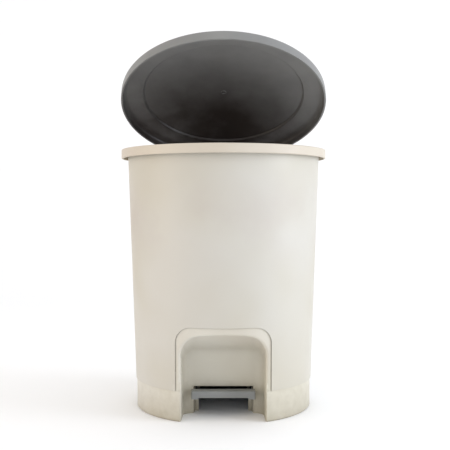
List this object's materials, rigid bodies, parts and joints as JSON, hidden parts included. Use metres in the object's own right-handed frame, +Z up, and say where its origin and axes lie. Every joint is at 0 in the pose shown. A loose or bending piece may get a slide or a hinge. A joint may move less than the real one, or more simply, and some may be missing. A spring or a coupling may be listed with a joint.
{
  "type": "pedal trash can",
  "caption": "Round tapered plastic waste bin with a hinged domed lid, lift-out bucket and a foot pedal that opens the lid through a lever and rod.",
  "frame": {"origin": "on the floor, at the centre of the base ring", "axes": "+Z up, -Y towards the user and the pedal, +Y towards the lid hinge, +X to the right seen from the front"},
  "size_m": [0.3026, 0.308, 0.5205],
  "materials": {
    "casing_plastic": "satin, slightly yellowed off-white polypropylene",
    "base_plastic": "satin, slightly yellowed off-white polypropylene",
    "rim_plastic": "satin off-white with a pinkish cast",
    "rubber": "matt black rubber",
    "bucket_plastic": "matt dark grey polypropylene",
    "zinc_wire": "zinc-plated steel wire",
    "grip_plastic": "grey plastic",
    "lid_plastic": "satin silver-grey polypropylene",
    "crank_plastic": "dark grey nylon",
    "steel": "bright steel",
    "clip_steel": "dark spring steel",
    "eye_plastic": "dark grey nylon",
    "bush_plastic": "natural acetal",
    "lever_steel": "zinc-plated pressed steel",
    "tread_plastic": "satin grey plastic"
  },
  "bodies": {
    "root": {"body_shell": "casing_plastic", "base_tray": "base_plastic", "rim_ring": "rim_plastic", "lid_buffers": "rubber", "inner_bucket": "bucket_plastic", "hinge_pin": "steel", "hinge_pin_clips": "clip_steel", "rod_bush": "bush_plastic", "rod_guide": "bush_plastic", "pedal_axle": "steel", "axle_clips": "clip_steel", "base_screws": "steel", "foot_pads": "rubber"},
    "lid": {"lid_shell": "lid_plastic", "lid_crank": "crank_plastic", "crank_screws": "steel", "crank_pin": "steel"},
    "pedal": {"pedal_lever": "lever_steel", "pedal_tread": "tread_plastic", "tread_screws": "steel", "lever_pin": "steel", "lever_pin_clips": "clip_steel"},
    "rod": {"push_rod": "zinc_wire", "rod_head": "eye_plastic", "rod_foot": "eye_plastic"},
    "bail": {"bail_wire": "zinc_wire", "bail_grip": "grip_plastic"}
  },
  "joints": [
    {"name": "lid_hinge", "type": "hinge", "parent": "root", "child": "lid", "pos_m": [0, 0.152, 0.363], "axis": [-1, 0, 0], "range_deg": [-28.4, 41.6]},
    {"name": "pedal_pivot", "type": "hinge", "parent": "root", "child": "pedal", "pos_m": [0, 0.003, 0.024], "axis": [1, 0, 0], "range_deg": [-6.18, 9.05]},
    {"name": "rod_lift", "type": "slide", "parent": "root", "child": "rod", "axis": [0, 0.0349, 0.9994], "range_m": [-0.01213, 0.01776]},
    {"name": "bail_swing", "type": "hinge", "parent": "root", "child": "bail", "pos_m": [0, 0, 0.3523], "axis": [-1, 0, 0], "range_deg": [0, 7]}
  ],
  "couplings": [
    {"joint": "pedal_pivot", "follows": "lid_hinge", "ratio": 0.2171},
    {"joint": "rod_lift", "follows": "lid_hinge", "m_per_rad": 0.024428}
  ]
}
